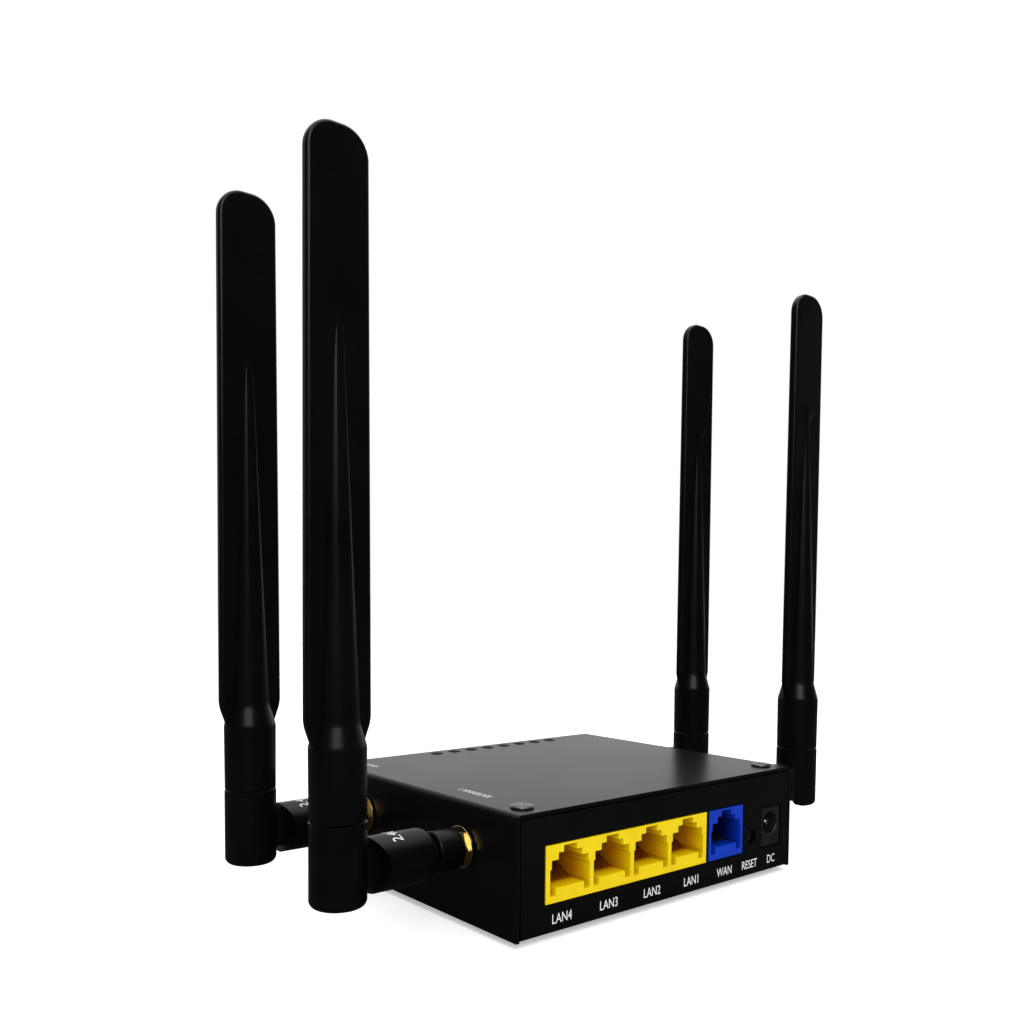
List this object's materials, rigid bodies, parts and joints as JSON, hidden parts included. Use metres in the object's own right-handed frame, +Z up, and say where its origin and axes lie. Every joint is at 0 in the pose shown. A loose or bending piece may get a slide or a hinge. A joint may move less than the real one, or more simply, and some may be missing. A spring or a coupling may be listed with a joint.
{
  "type": "wireless router",
  "caption": "Desktop wireless router in a folded metal case, with network sockets, a power inlet, a reset button and hinged blade antennas on its side walls.",
  "frame": {"origin": "on the ground under the middle of the case, at the bottom of its rubber feet", "axes": "+X runs right along the port panel and out of the right-hand wall, +Y from the port panel to the light side, +Z up along the antennas"},
  "size_m": [0.1866, 0.084, 0.176],
  "materials": {
    "case_paint": "satin black powder coat on folded steel sheet",
    "cover_screw_black": "black oxide steel",
    "board_screw_steel": "zinc-plated steel",
    "foot_rubber": "dull black",
    "board_green": "solder-masked laminate",
    "chip_black": "matt moulded package",
    "heatsink_aluminium": "plain extruded",
    "lan_yellow": "moulded, semi-gloss",
    "wan_blue": "moulded, semi-gloss",
    "contact_gold": "gold-flashed spring contacts",
    "jack_black": "moulded, semi-matt",
    "pin_steel": "nickel-plated pin",
    "light_guide_clear": "smoky clear, unlit",
    "connector_brass": "gold-plated, bright",
    "nut_black": "black-plated brass, knurled",
    "antenna_black": "satin moulded",
    "coax_black": "thin extruded jacket"
  },
  "bodies": {
    "case": {"top_cover": "case_paint", "base_tray": "case_paint", "main_board": "board_green", "processor": "chip_black", "heatsink": "heatsink_aluminium", "lan_transformer": "chip_black", "wan_transformer": "chip_black", "lan_jack_block": "lan_yellow", "lan_contacts": "contact_gold", "wan_jack": "wan_blue", "wan_contacts": "contact_gold", "dc_jack_housing": "jack_black", "dc_jack_pin": "pin_steel", "reset_switch": "jack_black", "light_guide": "light_guide_clear", "cover_screw_1": "cover_screw_black", "cover_screw_2": "cover_screw_black", "board_screw_1": "board_screw_steel", "foot_1": "foot_rubber", "board_screw_2": "board_screw_steel", "foot_2": "foot_rubber", "board_screw_3": "board_screw_steel", "foot_3": "foot_rubber", "board_screw_4": "board_screw_steel", "foot_4": "foot_rubber", "left_front_sma_jack": "connector_brass", "left_front_sma_nut": "connector_brass", "left_front_coax_lead": "coax_black", "left_rear_sma_jack": "connector_brass", "left_rear_sma_nut": "connector_brass", "left_rear_coax_lead": "coax_black", "right_front_sma_jack": "connector_brass", "right_front_sma_nut": "connector_brass", "right_front_coax_lead": "coax_black", "right_rear_sma_jack": "connector_brass", "right_rear_sma_nut": "connector_brass", "right_rear_coax_lead": "coax_black"},
    "reset_button": {"reset_button": "jack_black"},
    "left_front_nut": {"left_front_coupling_nut": "nut_black"},
    "left_front_barrel": {"left_front_hinge_barrel": "antenna_black", "left_front_hinge_pin": "pin_steel"},
    "left_front_antenna": {"left_front_hinge_knuckle": "antenna_black", "left_front_antenna_blade": "antenna_black"},
    "left_rear_nut": {"left_rear_coupling_nut": "nut_black"},
    "left_rear_barrel": {"left_rear_hinge_barrel": "antenna_black", "left_rear_hinge_pin": "pin_steel"},
    "left_rear_antenna": {"left_rear_hinge_knuckle": "antenna_black", "left_rear_antenna_blade": "antenna_black"},
    "right_front_nut": {"right_front_coupling_nut": "nut_black"},
    "right_front_barrel": {"right_front_hinge_barrel": "antenna_black", "right_front_hinge_pin": "pin_steel"},
    "right_front_antenna": {"right_front_hinge_knuckle": "antenna_black", "right_front_antenna_blade": "antenna_black"},
    "right_rear_nut": {"right_rear_coupling_nut": "nut_black"},
    "right_rear_barrel": {"right_rear_hinge_barrel": "antenna_black", "right_rear_hinge_pin": "pin_steel"},
    "right_rear_antenna": {"right_rear_hinge_knuckle": "antenna_black", "right_rear_antenna_blade": "antenna_black"}
  },
  "joints": [
    {"name": "reset_press", "type": "slide", "parent": "case", "child": "reset_button", "axis": [0, 1, 0], "range_m": [0, 0.0004], "stiffness_N_per_m": 2500, "springref_m": -0.0002},
    {"name": "left_front_nut_spin", "type": "hinge", "parent": "case", "child": "left_front_nut", "pos_m": [-0.052, -0.0218, 0.0195], "axis": [1, 0, 0], "continuous": true},
    {"name": "left_front_swivel", "type": "hinge", "parent": "case", "child": "left_front_barrel", "pos_m": [-0.052, -0.0218, 0.0195], "axis": [1, 0, 0], "range_deg": [-5, 90]},
    {"name": "left_front_fold", "type": "hinge", "parent": "left_front_barrel", "child": "left_front_antenna", "pos_m": [-0.0854, -0.0218, 0.0195], "axis": [0, -1, 0], "range_deg": [0, 90]},
    {"name": "left_rear_nut_spin", "type": "hinge", "parent": "case", "child": "left_rear_nut", "pos_m": [-0.052, 0.0221, 0.0195], "axis": [1, 0, 0], "continuous": true},
    {"name": "left_rear_swivel", "type": "hinge", "parent": "case", "child": "left_rear_barrel", "pos_m": [-0.052, 0.0221, 0.0195], "axis": [-1, 0, 0], "range_deg": [-5, 90]},
    {"name": "left_rear_fold", "type": "hinge", "parent": "left_rear_barrel", "child": "left_rear_antenna", "pos_m": [-0.0854, 0.0221, 0.0195], "axis": [0, -1, 0], "range_deg": [0, 90]},
    {"name": "right_front_nut_spin", "type": "hinge", "parent": "case", "child": "right_front_nut", "pos_m": [0.052, -0.0218, 0.0195], "axis": [1, 0, 0], "continuous": true},
    {"name": "right_front_swivel", "type": "hinge", "parent": "case", "child": "right_front_barrel", "pos_m": [0.052, -0.0218, 0.0195], "axis": [1, 0, 0], "range_deg": [-5, 90]},
    {"name": "right_front_fold", "type": "hinge", "parent": "right_front_barrel", "child": "right_front_antenna", "pos_m": [0.0854, -0.0218, 0.0195], "axis": [0, 1, 0], "range_deg": [0, 90]},
    {"name": "right_rear_nut_spin", "type": "hinge", "parent": "case", "child": "right_rear_nut", "pos_m": [0.052, 0.0221, 0.0195], "axis": [1, 0, 0], "continuous": true},
    {"name": "right_rear_swivel", "type": "hinge", "parent": "case", "child": "right_rear_barrel", "pos_m": [0.052, 0.0221, 0.0195], "axis": [-1, 0, 0], "range_deg": [-5, 90]},
    {"name": "right_rear_fold", "type": "hinge", "parent": "right_rear_barrel", "child": "right_rear_antenna", "pos_m": [0.0854, 0.0221, 0.0195], "axis": [0, 1, 0], "range_deg": [0, 90]}
  ]
}
